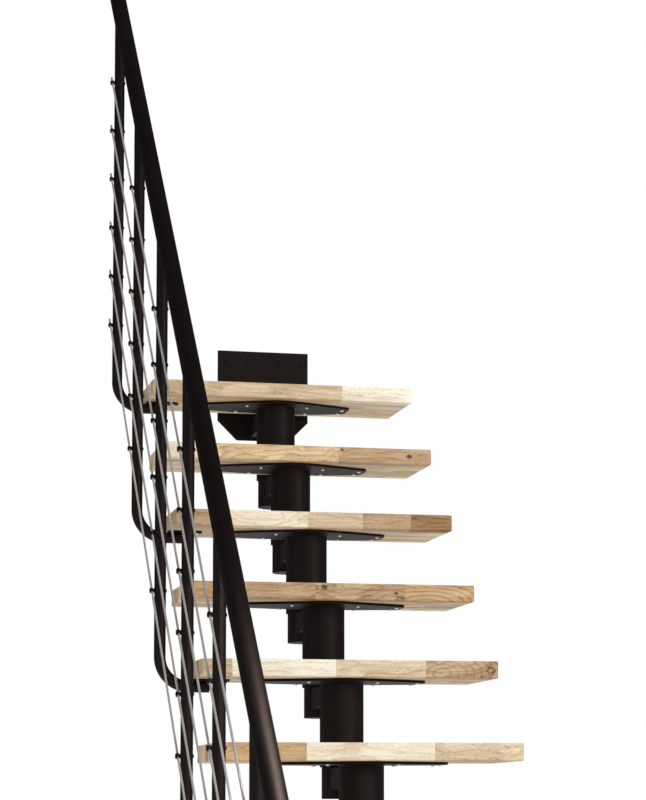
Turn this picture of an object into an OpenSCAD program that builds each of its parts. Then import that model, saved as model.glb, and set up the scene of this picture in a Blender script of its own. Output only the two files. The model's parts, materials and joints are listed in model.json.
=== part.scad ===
// Modular spine staircase with timber treads and a cable railing on one side.
// Steel modules telescope into one another under the treads and carry them on
// flat support plates. Origin: centre of the floor plate's underside.
// +Y runs up the flight, +X is the open side, +Z is up.

/* [Flight] */
// Height from one tread top to the next
rise = 195; // [185:1:205]
// Run from one tread's front edge to the next
going = 210; // [206:1:230]

/* [Treads] */
// Width of a tread across the flight
tread_w = 692; // [640:4:900]
// Depth of a tread from front edge to back edge
tread_d = 275; // [260:1:275]
// Thickness of a tread
tread_t = 40; // [36:1:44]
// Rounding of the tread's upright corners
tread_corner_r = 4; // [2:1:8]

/* [Spine] */
// Outside diameter of the module's front tube
tube_d = 101.6; // [101:0.1:102]
// Wall thickness of the front tube
tube_wall = 3.6; // [3:0.1:3.8]
// Distance from the tread's front edge to the tube's axis
tube_set = 120; // [120:1:130]
// Outside diameter of the spigot that enters the tube above
spigot_d = 93; // [90:0.5:93]
// Wall thickness of the spigot
spigot_wall = 3; // [2.5:0.5:4]
// How far the spigot hangs below the tread's underside
spigot_drop = 80; // [76:1:88]
// How far the tube above reaches below the tread's underside
tube_lap = 7; // [5:1:9]
// Width of the arm between tube and spigot
arm_w = 70; // [50:1:76]
// Height of the arm
arm_h = 48; // [40:1:56]

/* [Support plates] */
// Thickness of the plate that a tread is screwed to
plate_t = 6; // [5:1:8]
// Length of that plate across the flight
plate_len = 400; // [360:10:440]
// Diameter of the round part over the tube
plate_disc_d = 182; // [160:1:190]

/* [End plates] */
// Size of the floor plate and width of the landing plate
end_plate_w = 250; // [230:5:270]
// Height of the landing plate
landing_plate_h = 247; // [240:1:250]
// Thickness of both end plates
end_plate_t = 8; // [6:1:12]
// Length of the plates' corner cuts
end_plate_cut = 53; // [40:1:56]
// Diameter of the anchor holes
anchor_d = 12; // [9:0.5:14]
// Spacing of the floor anchors, both ways
floor_bolt_gap = 190; // [160:5:200]
// Depth from the landing's surface to the landing plate's top edge
landing_drop = 55; // [40:1:60]
// Distance from the top tread's front edge to the landing's face
landing_set = 319; // [312:1:335]

/* [Railing] */
// Diameter of the baluster tube
baluster_d = 26.9; // [25:0.1:28]
// Distance from the tread's end to the baluster's axis
baluster_out = 76; // [70:1:80]
// Distance from the tread's front edge to the baluster's axis
baluster_set = 138; // [125:1:150]
// Bend radius at the foot of the baluster
foot_bend_r = 68; // [60:1:70]
// Length of the foot tube under the tread
foot_in = 38; // [30:1:45]
// Length of the foot's flat plate under the tread
foot_plate_in = 86; // [80:1:100]
// Width of the foot's flat plate
foot_plate_w = 36; // [30:1:44]
// Thickness of the foot's flat plate
foot_plate_t = 5; // [4:0.5:6]
// Diameter of the handrail
handrail_d = 42.4; // [40:0.1:44]
// Height of the handrail's axis above a tread at the baluster
handrail_h = 1020; // [980:5:1060]
// Handrail past the bottom baluster, along the slope
handrail_low = 150; // [60:5:250]
// Handrail past the top baluster, along the slope
handrail_high = 190; // [60:5:250]

/* [Cables] */
// Diameter of a cable
cable_d = 5; // [3:0.5:6]
// Height of the lowest cable above a tread at the baluster
cable_low = 162.5; // [150:0.5:180]
// Height between cables
cable_gap = 131.5; // [120:0.5:134]
// Diameter of a cable clip
clip_d = 13; // [12:0.5:15]
// How far a clip stands out from its baluster
clip_out = 11; // [10:0.5:13]
// Cable past the end balusters, along the slope
cable_past = 30; // [15:1:50]

/* [Hidden] */
$fn = 96;

treads = 13;
timber = [0.80, 0.66, 0.48];
coat = [0.08, 0.065, 0.06];
steel = [0.75, 0.75, 0.74];

slope = atan2(rise, going);
pitch_len = sqrt(rise * rise + going * going);
rail_x = -tread_w / 2 - baluster_out;
cable_x = rail_x - baluster_d / 2 - clip_out / 2;
foot_z = -tread_t - foot_plate_t - baluster_d / 2 + 1;
end_plate_top = (treads + 1) * rise - landing_drop;

function tread_top(n) = n * rise;
function tread_front(n) = (n - 1) * going - tube_set;

// a flat outline with rounded corners
module rounded(w, d, r) {
    translate([r, 0]) square([w - 2 * r, d]);
    translate([0, r]) square([w, d - 2 * r]);
    for (x = [r, w - r], y = [r, d - r]) translate([x, y]) circle(r = r);
}

// one timber tread, numbered from the floor
module tread(n) {
    color(timber)
    translate([-tread_w / 2, tread_front(n), tread_top(n) - tread_t])
        linear_extrude(height = tread_t) rounded(tread_w, tread_d, tread_corner_r);
}

// plate under the tread: a disc over the tube with two tapering wings
module support_outline() {
    wing_back = 96;
    tip = 22;
    cx = plate_len / 2 - tip;
    cy = 2;
    disc_r = plate_disc_d / 2;
    // where the wing's straight front edge meets the disc and the tip's corner
    edge_a = atan2(cy, cx) - acos((disc_r - tip) / sqrt(cx * cx + cy * cy));
    on_disc = (disc_r - 0.3) * [cos(edge_a), sin(edge_a)];
    on_tip = [cx, cy] + (tip - 0.3) * [cos(edge_a), sin(edge_a)];
    back_y = wing_back - 2 * tip;
    circle(r = disc_r);
    polygon([
        on_disc, on_tip, [cx, cy], [cx + tip - 0.3, cy], [cx + tip - 0.3, back_y],
        [cx, back_y + tip - 0.3], [plate_len / 4, wing_back],
        [-plate_len / 4, wing_back], [-cx, back_y + tip - 0.3],
        [-cx - tip + 0.3, back_y], [-cx - tip + 0.3, cy], [-cx, cy],
        [-on_tip[0], on_tip[1]], [-on_disc[0], on_disc[1]]]);
    for (s = [-1, 1], y = [cy, back_y]) translate([s * cx, y]) circle(r = tip);
}

// one welded steel module: support plate, front tube, arm and spigot
module spine(n, foot, has_spigot, reach) {
    under = tread_top(n) - tread_t;
    bottom = foot;
    top = under - plate_t;
    color(coat)
    translate([0, (n - 1) * going, 0])
    difference() {
        union() {
            translate([0, 0, top]) linear_extrude(height = plate_t) support_outline();
            translate([0, 0, bottom]) cylinder(d = tube_d, h = top - bottom + 1);
            translate([-arm_w / 2, 0, top - 4 - arm_h]) cube([arm_w, reach, arm_h]);
            if (has_spigot)
                translate([0, going, under - spigot_drop])
                    cylinder(d = spigot_d, h = spigot_drop + tread_t + 30);
        }
        // bore of the front tube
        translate([0, 0, bottom - 1]) cylinder(d = tube_d - 2 * tube_wall, h = top - bottom + 1);
        // bore of the spigot, closed at the bottom
        if (has_spigot)
            translate([0, going, under - spigot_drop + 5])
                cylinder(d = spigot_d - 2 * spigot_wall, h = spigot_drop + tread_t + 30);
    }
}

function lap_foot(n) = tread_top(n - 1) - tread_t - tube_lap;
module spine_between(n) { spine(n, lap_foot(n), true, going); }

// floor plate under the lowest module
module floor_plate() {
    h = end_plate_w / 2;
    color(coat)
    difference() {
        linear_extrude(height = end_plate_t) polygon([
            [-h + 25, -h], [h - 25, -h], [h, -h + 25], [h, h - 25],
            [h - 25, h], [-h + 25, h], [-h, h - 25], [-h, -h + 25]]);
        for (x = [-1, 1], y = [-1, 1])
            translate([x * floor_bolt_gap / 2, y * floor_bolt_gap / 2, -1])
                cylinder(d = anchor_d, h = end_plate_t + 2);
    }
}

// upright plate that bolts the top module to the landing's edge
module landing_plate() {
    h = end_plate_w / 2;
    color(coat)
    translate([0, tread_front(treads) + landing_set, end_plate_top])
    rotate([90, 0, 0])
    difference() {
        linear_extrude(height = end_plate_t) polygon([
            [-h, 0], [-h, -landing_plate_h + end_plate_cut],
            [-h + end_plate_cut, -landing_plate_h], [h - end_plate_cut, -landing_plate_h],
            [h, -landing_plate_h + end_plate_cut], [h, 0]]);
        for (p = [[-105, -35], [-45, -35], [45, -35], [105, -35], [-45, -165], [45, -165]])
            translate([p[0], p[1], -1]) cylinder(d = anchor_d, h = end_plate_t + 2);
    }
}

// the handrail's solid, also used to shape the balusters' tops
module rail_bar(low, high, d) {
    translate([rail_x, tread_front(1) + baluster_set, tread_top(1) + handrail_h])
        rotate([slope - 90, 0, 0])
            translate([0, 0, -low]) cylinder(d = d, h = low + (treads - 1) * pitch_len + high);
}

// one cable's solid, parallel to the handrail
module cable_bar(i, d) {
    translate([cable_x, tread_front(1) + baluster_set, tread_top(1) + cable_low + (i - 1) * cable_gap])
        rotate([slope - 90, 0, 0])
            translate([0, 0, -cable_past])
                cylinder(d = d, h = (treads - 1) * pitch_len + 2 * cable_past, $fn = 48);
}

// baluster on tread n: upright tube, bend, foot tube and foot plate
module baluster(n) {
    r = foot_bend_r;
    color(coat)
    translate([rail_x, tread_front(n) + baluster_set, tread_top(n)]) {
        difference() {
            translate([0, 0, foot_z + r]) cylinder(d = baluster_d, h = handrail_h - foot_z - r, $fn = 64);
            translate([0, 0, handrail_h]) rotate([slope - 90, 0, 0])
                translate([0, 0, -100]) cylinder(d = handrail_d, h = 200);
        }
        translate([r, 0, foot_z + r]) rotate([90, 180, 0])
            rotate_extrude(angle = 90) translate([r, 0]) circle(d = baluster_d, $fn = 64);
        translate([r, 0, foot_z]) rotate([0, 90, 0])
            cylinder(d = baluster_d, h = baluster_out + foot_in - r, $fn = 64);
        translate([baluster_out + 2, -foot_plate_w / 2, -tread_t - foot_plate_t])
            cube([foot_plate_in - 2 - foot_plate_w / 2, foot_plate_w, foot_plate_t]);
        translate([baluster_out + foot_plate_in - foot_plate_w / 2, 0, -tread_t - foot_plate_t])
            cylinder(d = foot_plate_w, h = foot_plate_t);
    }
}

module handrail() { color(coat) rail_bar(handrail_low, handrail_high, handrail_d); }

module handrail_caps() {
    total = handrail_low + (treads - 1) * pitch_len + handrail_high;
    color(coat)
    translate([rail_x, tread_front(1) + baluster_set, tread_top(1) + handrail_h])
        rotate([slope - 90, 0, 0]) translate([0, 0, -handrail_low]) {
            translate([0, 0, -3]) cylinder(d = handrail_d, h = 3);
            translate([0, 0, -5]) cylinder(d = handrail_d - 8, h = 2.5);
            translate([0, 0, total]) cylinder(d = handrail_d, h = 3);
            translate([0, 0, total + 2.5]) cylinder(d = handrail_d - 8, h = 2.5);
        }
}

// clips on the balusters' outer side, each with a hole for its cable
module cable_clips() {
    color(coat)
    for (n = [1 : 2 : treads], i = [1 : 6])
        difference() {
            translate([rail_x - baluster_d / 2 + 0.5, tread_front(n) + baluster_set,
                       tread_top(n) + cable_low + (i - 1) * cable_gap])
                rotate([0, -90, 0]) difference() {
                    cylinder(d = clip_d, h = clip_out + 0.5, $fn = 32);
                    translate([0, 0, -baluster_d / 2 + 0.5]) rotate([0, 90, 0])
                        translate([0, 0, -20]) cylinder(d = baluster_d, h = 40, $fn = 64);
                }
            translate([cable_x, tread_front(n) + baluster_set,
                       tread_top(n) + cable_low + (i - 1) * cable_gap])
                rotate([slope - 90, 0, 0]) translate([0, 0, -20])
                    cylinder(d = cable_d, h = 40, $fn = 48);
        }
}

module cable(i) { color(steel) cable_bar(i, cable_d); }

module spine_01() { spine(1, end_plate_t, true, going); }
module spine_02() { spine_between(2); }
module spine_03() { spine_between(3); }
module spine_04() { spine_between(4); }
module spine_05() { spine_between(5); }
module spine_06() { spine_between(6); }
module spine_07() { spine_between(7); }
module spine_08() { spine_between(8); }
module spine_09() { spine_between(9); }
module spine_10() { spine_between(10); }
module spine_11() { spine_between(11); }
module spine_12() { spine_between(12); }
module spine_13() { spine(13, lap_foot(13), false, landing_set - end_plate_t - tube_set); }
module tread_01() { tread(1); }
module tread_02() { tread(2); }
module tread_03() { tread(3); }
module tread_04() { tread(4); }
module tread_05() { tread(5); }
module tread_06() { tread(6); }
module tread_07() { tread(7); }
module tread_08() { tread(8); }
module tread_09() { tread(9); }
module tread_10() { tread(10); }
module tread_11() { tread(11); }
module tread_12() { tread(12); }
module tread_13() { tread(13); }
module baluster_01() { baluster(1); }
module baluster_02() { baluster(3); }
module baluster_03() { baluster(5); }
module baluster_04() { baluster(7); }
module baluster_05() { baluster(9); }
module baluster_06() { baluster(11); }
module baluster_07() { baluster(13); }
module cable_1() { cable(1); }
module cable_2() { cable(2); }
module cable_3() { cable(3); }
module cable_4() { cable(4); }
module cable_5() { cable(5); }
module cable_6() { cable(6); }

floor_plate();
landing_plate();
spine_01();
spine_02();
spine_03();
spine_04();
spine_05();
spine_06();
spine_07();
spine_08();
spine_09();
spine_10();
spine_11();
spine_12();
spine_13();
tread_01();
tread_02();
tread_03();
tread_04();
tread_05();
tread_06();
tread_07();
tread_08();
tread_09();
tread_10();
tread_11();
tread_12();
tread_13();
baluster_01();
baluster_02();
baluster_03();
baluster_04();
baluster_05();
baluster_06();
baluster_07();
handrail();
handrail_caps();
cable_1();
cable_2();
cable_3();
cable_4();
cable_5();
cable_6();
cable_clips();
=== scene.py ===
import bpy, bmesh, math, random, json
from mathutils import Vector, Matrix


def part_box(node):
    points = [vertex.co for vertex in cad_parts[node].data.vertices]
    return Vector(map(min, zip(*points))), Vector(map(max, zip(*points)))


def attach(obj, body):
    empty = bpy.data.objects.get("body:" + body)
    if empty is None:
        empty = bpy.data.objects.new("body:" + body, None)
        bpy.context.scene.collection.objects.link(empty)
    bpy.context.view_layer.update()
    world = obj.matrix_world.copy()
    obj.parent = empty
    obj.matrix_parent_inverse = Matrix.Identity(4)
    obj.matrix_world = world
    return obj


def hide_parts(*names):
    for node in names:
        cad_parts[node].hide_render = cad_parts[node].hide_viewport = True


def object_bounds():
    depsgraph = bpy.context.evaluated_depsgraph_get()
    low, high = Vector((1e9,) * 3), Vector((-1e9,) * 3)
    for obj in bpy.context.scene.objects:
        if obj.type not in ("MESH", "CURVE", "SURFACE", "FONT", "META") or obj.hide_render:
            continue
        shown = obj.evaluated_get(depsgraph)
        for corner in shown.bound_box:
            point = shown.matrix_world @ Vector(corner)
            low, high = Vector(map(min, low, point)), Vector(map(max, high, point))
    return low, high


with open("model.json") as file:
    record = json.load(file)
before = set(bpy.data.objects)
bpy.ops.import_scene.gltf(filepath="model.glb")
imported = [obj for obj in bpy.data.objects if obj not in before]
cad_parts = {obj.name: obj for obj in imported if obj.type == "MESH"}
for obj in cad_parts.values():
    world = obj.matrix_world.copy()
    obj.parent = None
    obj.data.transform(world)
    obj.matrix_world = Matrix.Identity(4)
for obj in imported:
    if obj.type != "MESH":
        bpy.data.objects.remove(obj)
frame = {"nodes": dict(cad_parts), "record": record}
lo0, hi0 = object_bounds()

TREADS = 13
BALUSTER_ON = [1, 3, 5, 7, 9, 11, 13]
rnd = random.Random(11)


def name(kind, n):
    return "%s_%02d" % (kind, n)


T1LO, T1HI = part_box("tread_01")
T2LO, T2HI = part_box("tread_02")
RISE = T2HI.z - T1HI.z
GOING = T2LO.y - T1LO.y
THICK = T1HI.z - T1LO.z
DEPTH = T1HI.y - T1LO.y
WIDTH = T1HI.x - T1LO.x
SLOPE = math.atan2(RISE, GOING)
UP = Vector((0, math.cos(SLOPE), math.sin(SLOPE)))


# ---------------------------------------------------------------- materials
class Nodes:
    def __init__(self, title):
        self.mat = bpy.data.materials.new(title)
        self.mat.use_nodes = True
        self.t = self.mat.node_tree
        self.t.nodes.clear()
        self.out = self.t.nodes.new("ShaderNodeOutputMaterial")
        self.bsdf = self.t.nodes.new("ShaderNodeBsdfPrincipled")
        self.link(self.bsdf.outputs[0], self.out.inputs[0])
        self.co = self.t.nodes.new("ShaderNodeTexCoord").outputs["Object"]

    def link(self, a, b):
        self.t.links.new(a, b)

    def put(self, socket, value):
        if hasattr(value, "is_output"):
            self.link(value, socket)
        else:
            socket.default_value = value

    def math(self, op, a, b=0.0, c=0.0, clamp=False):
        n = self.t.nodes.new("ShaderNodeMath")
        n.operation = op
        n.use_clamp = clamp
        for s, v in zip(n.inputs, (a, b, c)):
            self.put(s, v)
        return n.outputs[0]

    def vmath(self, op, a, b=(0, 0, 0)):
        n = self.t.nodes.new("ShaderNodeVectorMath")
        n.operation = op
        self.put(n.inputs[0], a)
        self.put(n.inputs[1], b)
        return n.outputs[1] if op in ("LENGTH", "DISTANCE") else n.outputs[0]

    def noise(self, vec, scale, detail=3.0, rough=0.5, distortion=0.0):
        n = self.t.nodes.new("ShaderNodeTexNoise")
        self.put(n.inputs["Vector"], vec)
        n.inputs["Scale"].default_value = scale
        n.inputs["Detail"].default_value = detail
        n.inputs["Roughness"].default_value = rough
        n.inputs["Distortion"].default_value = distortion
        return n.outputs[0]

    def ramp(self, fac, stops, interp="LINEAR"):
        n = self.t.nodes.new("ShaderNodeValToRGB")
        n.color_ramp.interpolation = interp
        e = n.color_ramp.elements
        while len(e) < len(stops):
            e.new(0.5)
        for el, (p, c) in zip(e, stops):
            el.position = p
            el.color = (c, c, c, 1) if isinstance(c, (int, float)) else (*c, 1)
        self.put(n.inputs[0], fac)
        return n.outputs[0]

    def mix(self, fac, a, b, mode="MIX"):
        n = self.t.nodes.new("ShaderNodeMix")
        n.data_type = "RGBA"
        n.blend_type = mode
        n.clamp_result = True
        self.put(n.inputs["Factor"], fac)
        for s, v in ((n.inputs["A"], a), (n.inputs["B"], b)):
            pass
        ins = [s for s in n.inputs if s.type == "RGBA"]
        self.put(ins[0], a if hasattr(a, "is_output") else (*a, 1))
        self.put(ins[1], b if hasattr(b, "is_output") else (*b, 1))
        return [o for o in n.outputs if o.type == "RGBA"][0]

    def combine(self, x, y, z):
        n = self.t.nodes.new("ShaderNodeCombineXYZ")
        for s, v in zip(n.inputs, (x, y, z)):
            self.put(s, v)
        return n.outputs[0]

    def split(self, v):
        n = self.t.nodes.new("ShaderNodeSeparateXYZ")
        self.put(n.inputs[0], v)
        return n.outputs

    def attr(self, title):
        n = self.t.nodes.new("ShaderNodeAttribute")
        n.attribute_name = title
        return n

    def bump(self, height, strength, distance):
        n = self.t.nodes.new("ShaderNodeBump")
        n.inputs["Strength"].default_value = strength
        n.inputs["Distance"].default_value = distance
        self.put(n.inputs["Height"], height)
        self.link(n.outputs[0], self.bsdf.inputs["Normal"])


def srgb(r, g, b):
    f = lambda v: (v / 255 / 12.92) if v <= 10 else ((v / 255 + 0.055) / 1.055) ** 2.4
    return (f(r), f(g), f(b))


def powder_coat():
    m = Nodes("black_powder_coat")
    fine = m.noise(m.co, 900.0, 2.0, 0.5)
    cloud = m.noise(m.co, 14.0, 3.0, 0.55)
    base = m.ramp(cloud, [(0.3, srgb(13, 8, 8)), (0.7, srgb(19, 12, 12))])
    m.put(m.bsdf.inputs["Base Color"], base)
    rough = m.ramp(m.noise(m.co, 60.0, 3.0, 0.6), [(0.3, 0.50), (0.7, 0.60)])
    m.put(m.bsdf.inputs["Roughness"], rough)
    m.bsdf.inputs["Specular IOR Level"].default_value = 0.20
    m.bsdf.inputs["Specular Tint"].default_value = (1.0, 0.85, 0.80, 1)
    m.bump(fine, 0.10, 0.0006)
    return m.mat


def timber():
    m = Nodes("butcher_block_timber")
    block = m.attr("block")
    tone, seed, warm = m.split(block.outputs["Vector"])
    # each block has its own piece of tree: shift and vary the grain by its seed
    off = m.combine(m.math("MULTIPLY", seed, 37.0), m.math("MULTIPLY", seed, 11.3), m.math("MULTIPLY", seed, 23.7))
    p = m.vmath("ADD", m.co, off)
    px, py, pz = m.split(p)
    r1 = m.math("FRACT", m.math("MULTIPLY", seed, 17.3))
    r2 = m.math("FRACT", m.math("MULTIPLY", seed, 29.9))
    r3 = m.math("FRACT", m.math("MULTIPLY", seed, 53.1))
    # growth rings: contour lines of a field that runs along the board
    warp = m.noise(m.combine(m.math("MULTIPLY", px, 4.6), m.math("MULTIPLY", py, 15.0), m.math("MULTIPLY", pz, 15.0)), 1.0, 2.0, 0.5)
    fine_warp = m.noise(m.combine(m.math("MULTIPLY", px, 22.0), m.math("MULTIPLY", py, 60.0), m.math("MULTIPLY", pz, 60.0)), 1.0, 2.0, 0.5)
    across = m.math("ADD", pz, m.math("MULTIPLY", py, m.math("ADD", 0.35, r3)))
    across = m.math("ADD", across, m.math("MULTIPLY", px, m.math("MULTIPLY", m.math("SUBTRACT", r2, 0.5), 0.10)))
    freq = m.math("ADD", 34.0, m.math("MULTIPLY", r2, 62.0))
    bendy = m.math("ADD", 3.0, m.math("MULTIPLY", r1, 9.0))
    rv = m.math("ADD", m.math("MULTIPLY", across, freq), m.math("MULTIPLY", warp, bendy))
    rv = m.math("ADD", rv, m.math("MULTIPLY", fine_warp, 0.7))
    ring = m.math("FRACT", rv)
    ringline = m.ramp(ring, [(0.0, 0.10), (0.10, 0.0), (0.60, 0.16), (0.84, 0.55), (0.93, 1.0), (1.0, 0.10)])
    # long fibres, pores and flecks
    fibre = m.noise(m.combine(m.math("MULTIPLY", px, 12.0), m.math("MULTIPLY", py, 260.0), m.math("MULTIPLY", pz, 260.0)), 1.0, 4.0, 0.62)
    pores = m.ramp(m.noise(m.combine(m.math("MULTIPLY", px, 90.0), m.math("MULTIPLY", py, 700.0), m.math("MULTIPLY", pz, 700.0)), 1.0, 2.0, 0.5), [(0.60, 0.0), (0.69, 1.0)])
    broad = m.noise(m.combine(m.math("MULTIPLY", px, 6.5), m.math("MULTIPLY", py, 30.0), m.math("MULTIPLY", pz, 42.0)), 1.0, 3.0, 0.6, 0.4)
    cloud = m.noise(m.combine(m.math("MULTIPLY", px, 16.0), m.math("MULTIPLY", py, 34.0), m.math("MULTIPLY", pz, 34.0)), 1.0, 3.0, 0.6)
    # sapwood: a paler band with a wavy edge
    sap = m.ramp(m.math("ADD", warp, m.math("MULTIPLY", m.math("SUBTRACT", tone, 0.62), 0.35)), [(0.50, 0.0), (0.535, 1.0)])
    t = m.math("ADD", m.math("ADD", tone, 0.10), m.math("MULTIPLY", m.math("SUBTRACT", broad, 0.5), 0.34))
    t = m.math("ADD", t, m.math("MULTIPLY", m.math("SUBTRACT", cloud, 0.5), 0.24))
    t = m.math("ADD", t, m.math("MULTIPLY", m.math("SUBTRACT", sap, 0.5), 0.12))
    t = m.math("SUBTRACT", t, m.math("MULTIPLY", ringline, m.math("ADD", 0.12, m.math("MULTIPLY", r1, 0.12))))
    t = m.math("ADD", t, m.math("MULTIPLY", m.math("SUBTRACT", fibre, 0.5), 0.42))
    # arched figure on the blocks that were sawn across the heart
    cx, cy, cz = m.split(m.co)
    for c, x0, x1, y1, z0, z1, squash, freq, depth in ARCS:
        qx, qy, qz = m.split(m.vmath("SUBTRACT", m.co, c))
        d = m.vmath("LENGTH", m.combine(m.math("MULTIPLY", qx, squash), m.math("MULTIPLY", qy, 0.6), qz))
        d = m.math("ADD", m.math("MULTIPLY", d, freq), m.math("MULTIPLY", m.noise(m.co, 11.0, 2.0, 0.5), 1.6))
        line = m.ramp(m.math("FRACT", d), [(0.0, 0.0), (0.55, 0.0), (0.80, 0.9), (0.88, 1.0), (1.0, 0.0)])
        inside = m.math("MULTIPLY", m.math("GREATER_THAN", cx, x0), m.math("LESS_THAN", cx, x1))
        inside = m.math("MULTIPLY", inside, m.math("LESS_THAN", cy, y1))
        inside = m.math("MULTIPLY", inside, m.math("MULTIPLY", m.math("GREATER_THAN", cz, z0), m.math("LESS_THAN", cz, z1)))
        t = m.math("SUBTRACT", t, m.math("MULTIPLY", m.math("MULTIPLY", line, inside), depth))
    # short dark flecks, plainest in the pale sapwood blocks
    fleck = m.ramp(m.noise(m.combine(m.math("MULTIPLY", px, 120.0), m.math("MULTIPLY", py, 330.0), m.math("MULTIPLY", pz, 330.0)), 1.0, 2.0, 0.55), [(0.585, 0.0), (0.66, 1.0)])
    t = m.math("SUBTRACT", t, m.math("MULTIPLY", fleck, m.math("ADD", 0.05, m.math("MULTIPLY", tone, 0.20))))
    t = m.math("SUBTRACT", t, m.math("MULTIPLY", pores, 0.10), 0.0, True)
    cool = m.ramp(t, [(0.0, srgb(104, 74, 46)), (0.25, srgb(160, 129, 96)), (0.5, srgb(199, 174, 144)), (0.72, srgb(224, 208, 181)), (0.86, srgb(239, 229, 206)), (1.0, srgb(250, 246, 230))])
    gold = m.ramp(t, [(0.0, srgb(112, 76, 40)), (0.25, srgb(170, 130, 84)), (0.5, srgb(208, 174, 128)), (0.72, srgb(230, 204, 160)), (0.86, srgb(240, 223, 186)), (1.0, srgb(249, 239, 212))])
    col = m.mix(warm, cool, gold)
    # knots at fixed places in the boards: dark ragged rim, warm heart
    for c, r in KNOTS:
        q = m.vmath("SUBTRACT", m.co, c)
        qx, qy, qz = m.split(q)
        d = m.vmath("LENGTH", m.combine(m.math("MULTIPLY", qx, 0.72), qy, qz))
        d = m.math("ADD", d, m.math("MULTIPLY", m.math("SUBTRACT", m.noise(m.co, 240.0, 3.0), 0.5), r * 1.1))
        u = m.math("DIVIDE", d, r)
        halo = m.ramp(u, [(0.0, 0.35), (0.34, 0.30), (0.50, 0.85), (0.60, 1.0), (0.72, 0.45), (1.0, 0.0)])
        heart = m.ramp(u, [(0.0, 1.0), (0.42, 0.8), (0.52, 0.0)])
        col = m.mix(halo, col, srgb(70, 42, 24))
        col = m.mix(heart, col, srgb(186, 140, 104) if r > 0.009 else srgb(84, 54, 34))
    m.put(m.bsdf.inputs["Base Color"], col)
    m.put(m.bsdf.inputs["Roughness"], m.ramp(fibre, [(0.3, 0.44), (0.7, 0.58)]))
    m.bsdf.inputs["Specular IOR Level"].default_value = 0.35
    m.bump(m.math("ADD", fibre, m.math("MULTIPLY", ringline, -0.5)), 0.12, 0.0008)
    return m.mat


def metal(title, lo, hi, rough_lo, rough_hi, scale, bump=0.1, metallic=1.0):
    m = Nodes(title)
    n = m.noise(m.co, scale, 3.0, 0.6)
    m.put(m.bsdf.inputs["Base Color"], m.ramp(n, [(0.3, lo), (0.7, hi)]))
    m.bsdf.inputs["Metallic"].default_value = metallic
    m.put(m.bsdf.inputs["Roughness"], m.ramp(n, [(0.3, rough_lo), (0.7, rough_hi)]))
    m.bump(n, bump, 0.0003)
    return m.mat


def floor_material():
    m = Nodes("studio_floor")
    n = m.noise(m.co, 3.0, 2.0, 0.5)
    m.put(m.bsdf.inputs["Base Color"], m.ramp(n, [(0.3, (0.41, 0.41, 0.41)), (0.7, (0.43, 0.43, 0.43))]))
    m.bsdf.inputs["Roughness"].default_value = 0.8
    m.bsdf.inputs["Emission Color"].default_value = (1, 1, 1, 1)
    m.bsdf.inputs["Emission Strength"].default_value = 0.53
    return m.mat


# ------------------------------------------------------------------ mesh help
def make(title, bm, mats, smooth=True):
    me = bpy.data.meshes.new(title)
    bm.normal_update()
    bm.to_mesh(me)
    bm.free()
    ob = bpy.data.objects.new(title, me)
    bpy.context.collection.objects.link(ob)
    for mt in mats:
        me.materials.append(mt)
    if smooth:
        me.polygons.foreach_set("use_smooth", [True] * len(me.polygons))
        me.set_sharp_from_angle(angle=math.radians(35))
    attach(ob, "root")
    return ob


def frame_of(origin, axis, ref=None):
    """Matrix whose +Z is the axis."""
    z = Vector(axis).normalized()
    r = Vector(ref) if ref is not None else (Vector((1, 0, 0)) if abs(z.x) < 0.9 else Vector((0, 1, 0)))
    x = (r - z * r.dot(z)).normalized()
    y = z.cross(x)
    return Matrix(((x.x, y.x, z.x, origin[0]), (x.y, y.y, z.y, origin[1]), (x.z, y.z, z.z, origin[2]), (0, 0, 0, 1)))


def lathe(bm, profile, mat, seg=24, idx=0):
    """Closed turned shape: profile is [(radius, height)...] from the lower centre to the upper centre."""
    rings = []
    for r, h in profile:
        if r <= 1e-7:
            rings.append([bm.verts.new(mat @ Vector((0, 0, h)))])
        else:
            rings.append([bm.verts.new(mat @ Vector((r * math.cos(2 * math.pi * k / seg), r * math.sin(2 * math.pi * k / seg), h))) for k in range(seg)])
    for a, b in zip(rings, rings[1:]):
        for k in range(seg):
            k2 = (k + 1) % seg
            if len(a) == 1 and len(b) == 1:
                continue
            if len(a) == 1:
                f = bm.faces.new((a[0], b[k2], b[k]))
            elif len(b) == 1:
                f = bm.faces.new((a[k], a[k2], b[0]))
            else:
                f = bm.faces.new((a[k], a[k2], b[k2], b[k]))
            f.material_index = idx


def sweep(bm, path, section, idx=0, closed=False):
    """Sweeps a list of (u, v) section rings along path; section(i, n) gives the points at ring i."""
    rings = []
    n = len(path)
    last = None
    for i, p in enumerate(path):
        a = path[(i - 1) % n] if closed or i > 0 else path[0]
        b = path[(i + 1) % n] if closed or i < n - 1 else path[-1]
        t = (Vector(b) - Vector(a)).normalized()
        if last is None:
            ref = Vector((0, 0, 1)) if abs(t.z) < 0.9 else Vector((1, 0, 0))
            u = (ref - t * ref.dot(t)).normalized()
        else:
            u = (last - t * last.dot(t)).normalized()
        last = u
        v = t.cross(u)
        rings.append([bm.verts.new(Vector(p) + u * su + v * sv) for su, sv in section(i, n)])
    pairs = list(zip(rings, rings[1:])) + ([(rings[-1], rings[0])] if closed else [])
    for a, b in pairs:
        for k in range(len(a)):
            k2 = (k + 1) % len(a)
            f = bm.faces.new((a[k], a[k2], b[k2], b[k]))
            f.material_index = idx
    if not closed:
        bm.faces.new(list(reversed(rings[0]))).material_index = idx
        bm.faces.new(rings[-1]).material_index = idx


# ------------------------------------------------------------------ the boards
STAVES = 7
# the kinds of wood that a board is glued up from, as (lightness, warmth)
SAPWOOD, CREAM, LIGHT, HONEY = (0.86, 0.1), (0.78, 0.3), (0.62, 0.2), (0.62, 0.8)
TAN, GOLDEN, FAWN, HEARTWOOD = (0.51, 0.2), (0.44, 0.9), (0.38, 0.3), (0.18, 0.9)
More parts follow.
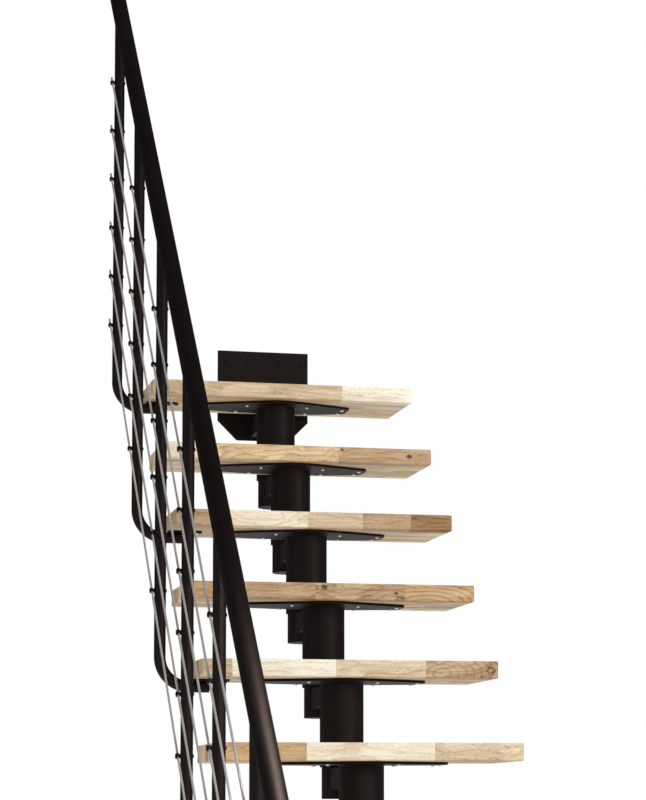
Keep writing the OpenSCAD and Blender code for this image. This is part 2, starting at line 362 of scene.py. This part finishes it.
# front staves of the upper boards: where the blocks join (share of the width), and the kind of wood in each
FRONT = {
    13: ([0.209, 0.725], [TAN, TAN, SAPWOOD]),
    12: ([0.13, 0.648], [CREAM, HONEY, FAWN]),
    11: ([0.14, 0.472, 0.67, 0.847], [FAWN, CREAM, LIGHT, FAWN, HEARTWOOD]),
    10: ([0.20, 0.437, 0.752], [GOLDEN, FAWN, FAWN, GOLDEN]),
    9: ([0.10, 0.444, 0.749], [TAN, SAPWOOD, LIGHT, FAWN]),
    8: ([0.286, 0.703], [GOLDEN, CREAM, LIGHT]),
}


def knot(n, share, drop, r, y=0.0):
    lo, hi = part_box(name("tread", n))
    return ((lo.x + WIDTH * share, lo.y + y, hi.z - drop), r)


KNOTS = [knot(12, 0.915, 0.020, 0.0065), knot(12, 0.66, 0.008, 0.004), knot(10, 0.468, 0.010, 0.0075), knot(10, 0.72, 0.022, 0.0045),
         knot(9, 0.972, 0.022, 0.0105), knot(8, 0.14, 0.010, 0.0075),
         knot(7, 0.35, 0.0, 0.008, 0.12), knot(5, 0.75, 0.0, 0.009, 0.21), knot(4, 0.30, 0.015, 0.008), knot(2, 0.55, 0.0, 0.008, 0.08)]



def arch(n, share, drop, a, b, squash, freq, depth):
    lo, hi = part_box(name("tread", n))
    return ((lo.x + WIDTH * share, lo.y, hi.z - drop), lo.x + WIDTH * a, lo.x + WIDTH * b, lo.y + (hi.y - lo.y) / STAVES, lo.z - 0.01, hi.z + 0.01, squash, freq, depth)


ARCS = [arch(10, 0.83, 0.052, 0.752, 1.0, 0.40, 105.0, 0.20), arch(10, 0.62, 0.050, 0.437, 0.752, 0.22, 80.0, 0.10),
        arch(9, 0.80, 0.030, 0.749, 1.0, 0.50, 100.0, 0.13), arch(9, 0.36, 0.060, 0.10, 0.444, 0.10, 55.0, 0.10),
        arch(12, 0.50, 0.054, 0.13, 0.648, 0.24, 90.0, 0.14), arch(11, 0.93, -0.012, 0.847, 1.0, 0.40, 90.0, 0.08),
        arch(6, 0.40, 0.050, 0.0, 1.0, 0.16, 100.0, 0.12)]
WOOD = timber()
COAT = powder_coat()
CABLE = metal("stainless_wire", (0.86, 0.83, 0.80), (0.93, 0.90, 0.87), 0.32, 0.42, 350.0, 0.1, 0.68)
ZINC = metal("bright_zinc_screws", (0.62, 0.62, 0.60), (0.80, 0.80, 0.79), 0.22, 0.40, 260.0)

for n in range(1, TREADS + 1):
    lo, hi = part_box(name("tread", n))
    r = random.Random(100 + n)
    bm = bmesh.new()
    bmesh.ops.create_cube(bm, size=1.0)
    for v in bm.verts:
        v.co = Vector(((lo.x + hi.x) / 2 + v.co.x * (hi.x - lo.x), (lo.y + hi.y) / 2 + v.co.y * (hi.y - lo.y), (lo.z + hi.z) / 2 + v.co.z * (hi.z - lo.z)))
    up = [e for e in bm.edges if abs(e.verts[0].co.z - e.verts[1].co.z) > 1e-4]
    bmesh.ops.bevel(bm, geom=up, offset=0.007, segments=5, profile=0.5, affect="EDGES")
    rim = [e for e in bm.edges if e.is_manifold and abs(e.calc_face_angle(0)) > 1.2]
    bmesh.ops.bevel(bm, geom=rim, offset=0.0035, segments=4, profile=0.5, affect="EDGES")
    # cut the board along its glue lines, then each stave across at its joints
    w = (hi.y - lo.y) / STAVES
    joints, tones = [], []
    for s in range(STAVES):
        if s:
            bmesh.ops.bisect_plane(bm, geom=bm.verts[:] + bm.edges[:] + bm.faces[:], plane_co=(0, lo.y + s * w, 0), plane_no=(0, 1, 0))
        if s == 0 and n in FRONT:
            js = [lo.x + q * WIDTH for q in FRONT[n][0]]
            ts = list(FRONT[n][1])
        else:
            js, at = [], lo.x + r.uniform(0.06, 0.26)
            while at < hi.x - 0.06:
                js.append(at)
                at += r.uniform(0.14, 0.34)
            ts = [(min(1.0, max(0.12, r.gauss(0.52, 0.08))), r.random() ** 1.5) for _ in range(len(js) + 1)]
        joints.append(js)
        tones.append(ts)
    for s in range(STAVES):
        y0, y1 = lo.y + s * w - 1e-6, lo.y + (s + 1) * w + 1e-6
        for j in joints[s]:
            fs = [f for f in bm.faces if y0 < f.calc_center_median().y < y1]
            geom = list({g for f in fs for g in list(f.verts) + list(f.edges) + [f]})
            bmesh.ops.bisect_plane(bm, geom=geom, plane_co=(j, 0, 0), plane_no=(1, 0, 0))
    faces = []
    for f in bm.faces:
        c = f.calc_center_median()
        s = min(STAVES - 1, max(0, int((c.y - lo.y) / w)))
        b = sum(1 for j in joints[s] if c.x > j)
        faces.append((*tones[s][b][:1], ((n * 7 + s) * 5 + b) % 97 / 97.0, tones[s][b][1]))
    board = make("board_%02d" % n, bm, [WOOD], smooth=False)
    a = board.data.attributes.new("block", "FLOAT_VECTOR", "FACE")
    a.data.foreach_set("vector", [q for v in faces for q in v])
    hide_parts(name("tread", n))

# ------------------------------------------------------- coated steel, from CAD
for title, ob in frame["nodes"].items():
    if title.startswith(("spine", "floor_plate", "landing_plate", "baluster", "handrail")):
        ob.data.materials.clear()
        ob.data.materials.append(COAT)

# ------------------------------------------------------------------- the wires
RAILLO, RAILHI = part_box("handrail")
for i in range(1, 7):
    lo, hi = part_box("cable_%d" % i)
    d = hi.x - lo.x
    mid = (lo + hi) / 2
    half = ((hi.y - lo.y) - d * math.sin(SLOPE)) / 2 / math.cos(SLOPE) - 0.0005
    bm = bmesh.new()
    lay_len, per = 0.040, 8
    step = lay_len / per
    count = int(2 * half / step)
    R = d / 2
    base = []
    for k in range(18):
        a = 2 * math.pi * k / 18
        lobe = math.cos(6 * a)
        base.append((a, R * (0.985 + 0.012 * lobe)))
    path = [mid + UP * (-half + 2 * half * j / count) for j in range(count + 1)]

    def section(j, total, base=base, per=per):
        turn = 2 * math.pi * j / (per * 6) * 1.0
        return [(rr * math.cos(a + turn), rr * math.sin(a + turn)) for a, rr in base]

    sweep(bm, path, section)
    for e in (-1, 1):
        # swaged end sleeve
        m = frame_of(mid + UP * (e * half - (0.020 if e > 0 else 0.0)), UP)
        lathe(bm, [(0, 0), (R * 1.0, 0), (R * 1.0, 0.019), (R * 0.7, 0.020), (0, 0.020)], m, 20)
    wire = make("wire_%d" % i, bm, [CABLE])
    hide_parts("cable_%d" % i)

# ------------------------------------------------------------- the wire clips
bm = bmesh.new()
for k, n in enumerate(BALUSTER_ON):
    blo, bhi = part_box("baluster_%02d" % (k + 1))
    tlo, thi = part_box(name("tread", n))
    px = blo.x + 0.01345
    py = (blo.y + bhi.y) / 2
    for i in range(1, 7):
        clo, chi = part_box("cable_%d" % i)
        cm = (clo + chi) / 2
        pz = cm.z + (py - cm.y) * math.tan(SLOPE)
        m = frame_of((px - 0.0125, py, pz), (-1, 0, 0), (0, 0, 1))
        lathe(bm, [(0, 0), (0.0052, 0), (0.0052, 0.0022), (0.0046, 0.0030), (0.0058, 0.0040), (0.0064, 0.0050), (0.0065, 0.0088),
                   (0.0062, 0.0102), (0.0054, 0.0114), (0.0046, 0.0119), (0.0030, 0.0119), (0.0027, 0.0116), (0.0025, 0.0092), (0, 0.0090)], m, 24)
        # riveted end on the inner side
        m = frame_of((px + 0.0129, py, pz), (1, 0, 0), (0, 0, 1))
        lathe(bm, [(0, 0), (0.0042, 0), (0.0042, 0.0010), (0.0036, 0.0019), (0.0020, 0.0024), (0, 0.0025)], m, 20)
clips = make("wire_clips", bm, [COAT])
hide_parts("cable_clips")

# ----------------------------------------------------------- screws and bolts
bm = bmesh.new()


def pan_screw(bm, at, axis, r=0.0052, h=0.0032, turn=0.0):
    m = frame_of(at, axis) @ Matrix.Rotation(turn, 4, "Z")
    lathe(bm, [(0, 0), (r, 0), (r * 0.99, h * 0.25), (r * 0.88, h * 0.62), (r * 0.64, h * 0.90), (r * 0.42, h), (r * 0.34, h * 0.96), (r * 0.26, h * 0.45), (0, h * 0.40)], m, 20)


for n in range(1, TREADS + 1):
    slo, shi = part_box(name("spine", n))
    tlo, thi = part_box(name("tread", n))
    axis_y = slo.y + 0.091
    z = tlo.z - 0.006
    for s in (-1, 1):
        for dx, dy in ((0.182, 0.006), (0.080, -0.020), (0.180, 0.060), (0.094, 0.080)):
            pan_screw(bm, (s * dx, axis_y + dy, z), (0, 0, -1), turn=rnd.uniform(0, 6))
for k, n in enumerate(BALUSTER_ON):
    blo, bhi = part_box("baluster_%02d" % (k + 1))
    tlo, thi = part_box(name("tread", n))
    py = (blo.y + bhi.y) / 2
    for dx, dy in ((0.012, 0), (0.032, -0.009), (0.032, 0.009)):
        pan_screw(bm, (bhi.x - dx, py + dy, tlo.z - 0.005), (0, 0, -1), 0.0042, 0.0026, rnd.uniform(0, 6))
screws = make("plate_screws", bm, [ZINC])

bm = bmesh.new()


def hex_bolt(bm, at, axis, r=0.0098, turn=0.0):
    m = frame_of(at, axis) @ Matrix.Rotation(turn, 4, "Z")
    lathe(bm, [(0, 0), (0.0118, 0), (0.0118, 0.0018), (0.0112, 0.0022), (0, 0.0022)], m, 32)
    lathe(bm, [(0, 0.0022), (r, 0.0022), (r, 0.0080), (r * 0.93, 0.0088), (0, 0.0088)], m, 6)
    lathe(bm, [(0, 0.0086), (0.0050, 0.0086), (0.0050, 0.0150), (0.0044, 0.0156), (0, 0.0156)], m, 20)


def flush_bolt(bm, at, axis, turn=0.0):
    m = frame_of(at, axis) @ Matrix.Rotation(turn, 4, "Z")
    lathe(bm, [(0, -0.004), (0.0059, -0.004), (0.0059, -0.0006), (0.0052, 0.0002), (0.0034, 0.0004), (0.0030, -0.0016), (0, -0.0018)], m, 28)


rec = {m["name"]: m for m in frame["record"]["mounts"]}
for key, face, axis in (("floor_bolts", "floor_plate", (0, 0, 1)), ("landing_bolts", "landing_plate", (0, -1, 0)), ("landing_bolts_outer", "landing_plate", (0, -1, 0))):
    m = rec[key]
    lo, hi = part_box(face)
    c = Vector(m["pos_m"])
    sx = m["dims"].get("spacing_x_mm", 0) / 2000
    sy = m["dims"].get("spacing_y_mm", 0) / 2000
    for a in (-1, 1):
        for b in ((-1, 1) if sy else (0,)):
            if axis[2]:
                hex_bolt(bm, (c.x + a * sx, c.y + b * sy, hi.z), axis, turn=rnd.uniform(0, 1))
            else:
                flush_bolt(bm, (c.x + a * sx, lo.y, c.z + b * sy), axis, turn=rnd.uniform(0, 1))
bolts = make("anchor_bolts", bm, [COAT])

# ---------------------------------------------------------------- weld seams
bm = bmesh.new()


def bead(bm, path, r=0.0024, closed=False, seed=0):
    q = random.Random(seed)

    def section(i, total):
        rr = r * (1.0 + 0.10 * math.sin(i * 1.9) + q.uniform(-0.05, 0.05))
        return [(rr * math.cos(2 * math.pi * k / 8), rr * math.sin(2 * math.pi * k / 8)) for k in range(8)]

    sweep(bm, path, section, closed=closed)


TUBE_R, SPIG_R = 0.0508, 0.0465
for n in range(1, TREADS + 1):
    slo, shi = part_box(name("spine", n))
    tlo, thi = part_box(name("tread", n))
    ay = slo.y + 0.091
    top = tlo.z - 0.006
    arm_top, arm_low = top - 0.004, top - 0.052
    bead(bm, [(TUBE_R * math.cos(a), ay + TUBE_R * math.sin(a), top - 0.0006) for a in [2 * math.pi * k / 90 for k in range(90)]], closed=True, seed=n)
    hw = 0.035
    yf = ay + math.sqrt(TUBE_R ** 2 - hw ** 2)
    for s in (-1, 1):
        bead(bm, [(s * hw, yf, arm_low + (arm_top - arm_low) * k / 12) for k in range(13)], seed=n * 10 + s)
    bead(bm, [(-hw + 2 * hw * k / 18, ay + math.sqrt(TUBE_R ** 2 - (-hw + 2 * hw * k / 18) ** 2), arm_low) for k in range(19)], seed=n * 20)
    if n < TREADS:
        yr = ay + GOING
        for s in (-1, 1):
            bead(bm, [(s * hw, yr - math.sqrt(SPIG_R ** 2 - hw ** 2), arm_low + (arm_top - arm_low) * k / 12) for k in range(13)], seed=n * 30 + s)
        bead(bm, [(-hw + 2 * hw * k / 18, yr - math.sqrt(SPIG_R ** 2 - (-hw + 2 * hw * k / 18) ** 2), arm_low) for k in range(19)], seed=n * 40)
    else:
        plo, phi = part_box("landing_plate")
        for s in (-1, 1):
            bead(bm, [(s * hw, plo.y, arm_low + (arm_top - arm_low) * k / 12) for k in range(13)], seed=n * 50 + s)
        for zz in (arm_low, arm_top):
            bead(bm, [(-hw + 2 * hw * k / 18, plo.y, zz) for k in range(19)], seed=n * 60)
flo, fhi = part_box("floor_plate")
bead(bm, [(TUBE_R * math.cos(a), TUBE_R * math.sin(a), fhi.z + 0.0004) for a in [2 * math.pi * k / 90 for k in range(90)]], 0.003, closed=True, seed=3)
# balusters: bead where the foot tube meets its plate, and where the post meets the rail
for k, n in enumerate(BALUSTER_ON):
    blo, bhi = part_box("baluster_%02d" % (k + 1))
    tlo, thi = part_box(name("tread", n))
    px, py = blo.x + 0.01345, (blo.y + bhi.y) / 2
    rr = RAILHI.x - (RAILLO.x + RAILHI.x) / 2
    rail_mid = (RAILLO + RAILHI) / 2
    rz = rail_mid.z + (py - rail_mid.y) * math.tan(SLOPE)
    path = []
    for j in range(48):
        a = 2 * math.pi * j / 48
        x, y = 0.01345 * math.cos(a), 0.01345 * math.sin(a)
        # height where the post's wall meets the sloping rail
        z = y * math.tan(SLOPE) - math.sqrt(max(0, rr * rr - x * x)) / math.cos(SLOPE)
        path.append((px + x, py + y, rz + z))
    bead(bm, path, 0.0018, closed=True, seed=500 + k)
    zf = tlo.z - 0.005
    for s in (-1, 1):
        bead(bm, [(px + 0.080 + 0.032 * j / 10, py + s * 0.0055, zf - 0.0006) for j in range(11)], 0.0018, seed=600 + k)
welds = make("weld_seams", bm, [COAT])

# ------------------------------------------------------------- light and floor
bpy.ops.mesh.primitive_plane_add(size=24.0, location=(0, (lo0.y + hi0.y) / 2, lo0.z))
floor = bpy.context.object
floor.name = "floor"
floor.data.materials.append(floor_material())

world = bpy.data.worlds.new("studio")
bpy.context.scene.world = world
world.use_nodes = True
wt = world.node_tree
wt.nodes.clear()
wout = wt.nodes.new("ShaderNodeOutputWorld")
seen = wt.nodes.new("ShaderNodeBackground")
seen.inputs[0].default_value = (1, 1, 1, 1)
seen.inputs[1].default_value = 1.0
fill = wt.nodes.new("ShaderNodeBackground")
fill.inputs[0].default_value = (1.0, 1.0, 1.0, 1)
fill.inputs[1].default_value = 0.49
dark = wt.nodes.new("ShaderNodeBackground")
dark.inputs[0].default_value = (1.0, 0.96, 0.94, 1)
dark.inputs[1].default_value = 0.06
path = wt.nodes.new("ShaderNodeLightPath")
m1 = wt.nodes.new("ShaderNodeMixShader")
m2 = wt.nodes.new("ShaderNodeMixShader")
wt.links.new(path.outputs["Is Glossy Ray"], m1.inputs[0])
wt.links.new(fill.outputs[0], m1.inputs[1])
wt.links.new(dark.outputs[0], m1.inputs[2])
wt.links.new(path.outputs["Is Camera Ray"], m2.inputs[0])
wt.links.new(m1.outputs[0], m2.inputs[1])
wt.links.new(seen.outputs[0], m2.inputs[2])
wt.links.new(m2.outputs[0], wout.inputs[0])


def area(title, at, to, size, power, size_y=None, color=(1, 1, 1)):
    l = bpy.data.lights.new(title, "AREA")
    l.energy = power
    l.color = color
    l.shape = "RECTANGLE"
    l.size = size
    l.size_y = size_y or size
    o = bpy.data.objects.new(title, l)
    bpy.context.collection.objects.link(o)
    o.location = at
    o.rotation_mode = "QUATERNION"
    o.rotation_quaternion = (Vector(to) - Vector(at)).to_track_quat("-Z", "Y")
    return o


MID = (lo0 + hi0) / 2
area("key", (4.2, -3.4, 3.6), (0, MID.y, 1.7), 1.8, 180, 3.4, (1.0, 0.985, 0.97))
area("front", (-0.6, -6.2, 3.2), (0, MID.y, 1.7), 2.6, 60, 2.6)
area("side", (-5.0, 0.0, 2.6), (0, MID.y, 1.6), 2.0, 26, 2.5)
top = area("top", (0.5, MID.y, 7.0), (0, MID.y, 1.5), 4.0, 92, 4.0)
top.visible_glossy = False
# a soft panel low on the right that only the handrail's lower half picks up
sheen = area("rail_sheen", (RAILLO.x + 0.24, RAILLO.y + 0.34, RAILLO.z + 0.90), (RAILLO.x + 0.02, RAILLO.y + 0.34, RAILLO.z + 0.30), 0.16, 11, 0.4, (1.0, 0.84, 0.76))
sheen.visible_camera = False
sheen.visible_diffuse = False

# ---------------------------------------------------------------- the camera
cam = bpy.data.cameras.new("camera")
cam.sensor_width = 36.0
cam.lens = 2535.3 / 800 * 36.0
cam.shift_x = -0.16
cam.shift_y = 0.20
cam.clip_start, cam.clip_end = 0.05, 200
co = bpy.data.objects.new("camera", cam)
bpy.context.collection.objects.link(co)
yaw, pitch, roll = math.radians(14.549), math.radians(5.879), math.radians(-0.294)
fwd = Vector((math.sin(yaw) * math.cos(pitch), math.cos(yaw) * math.cos(pitch), math.sin(pitch)))
right = Vector((math.cos(yaw), -math.sin(yaw), 0))
up = right.cross(fwd)
r2 = right * math.cos(roll) + up * math.sin(roll)
u2 = up * math.cos(roll) - right * math.sin(roll)
T8LO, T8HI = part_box("tread_08")
eye = Vector((-1.2321, T8LO.y - 5.4349, T8HI.z - 0.1723))
co.matrix_world = Matrix(((r2.x, u2.x, -fwd.x, eye.x), (r2.y, u2.y, -fwd.y, eye.y), (r2.z, u2.z, -fwd.z, eye.z), (0, 0, 0, 1)))
bpy.context.scene.camera = co

vs = bpy.context.scene.view_settings
vs.view_transform = "Standard"
vs.look = "None"
vs.exposure = 0.0

bpy.context.view_layer.update()
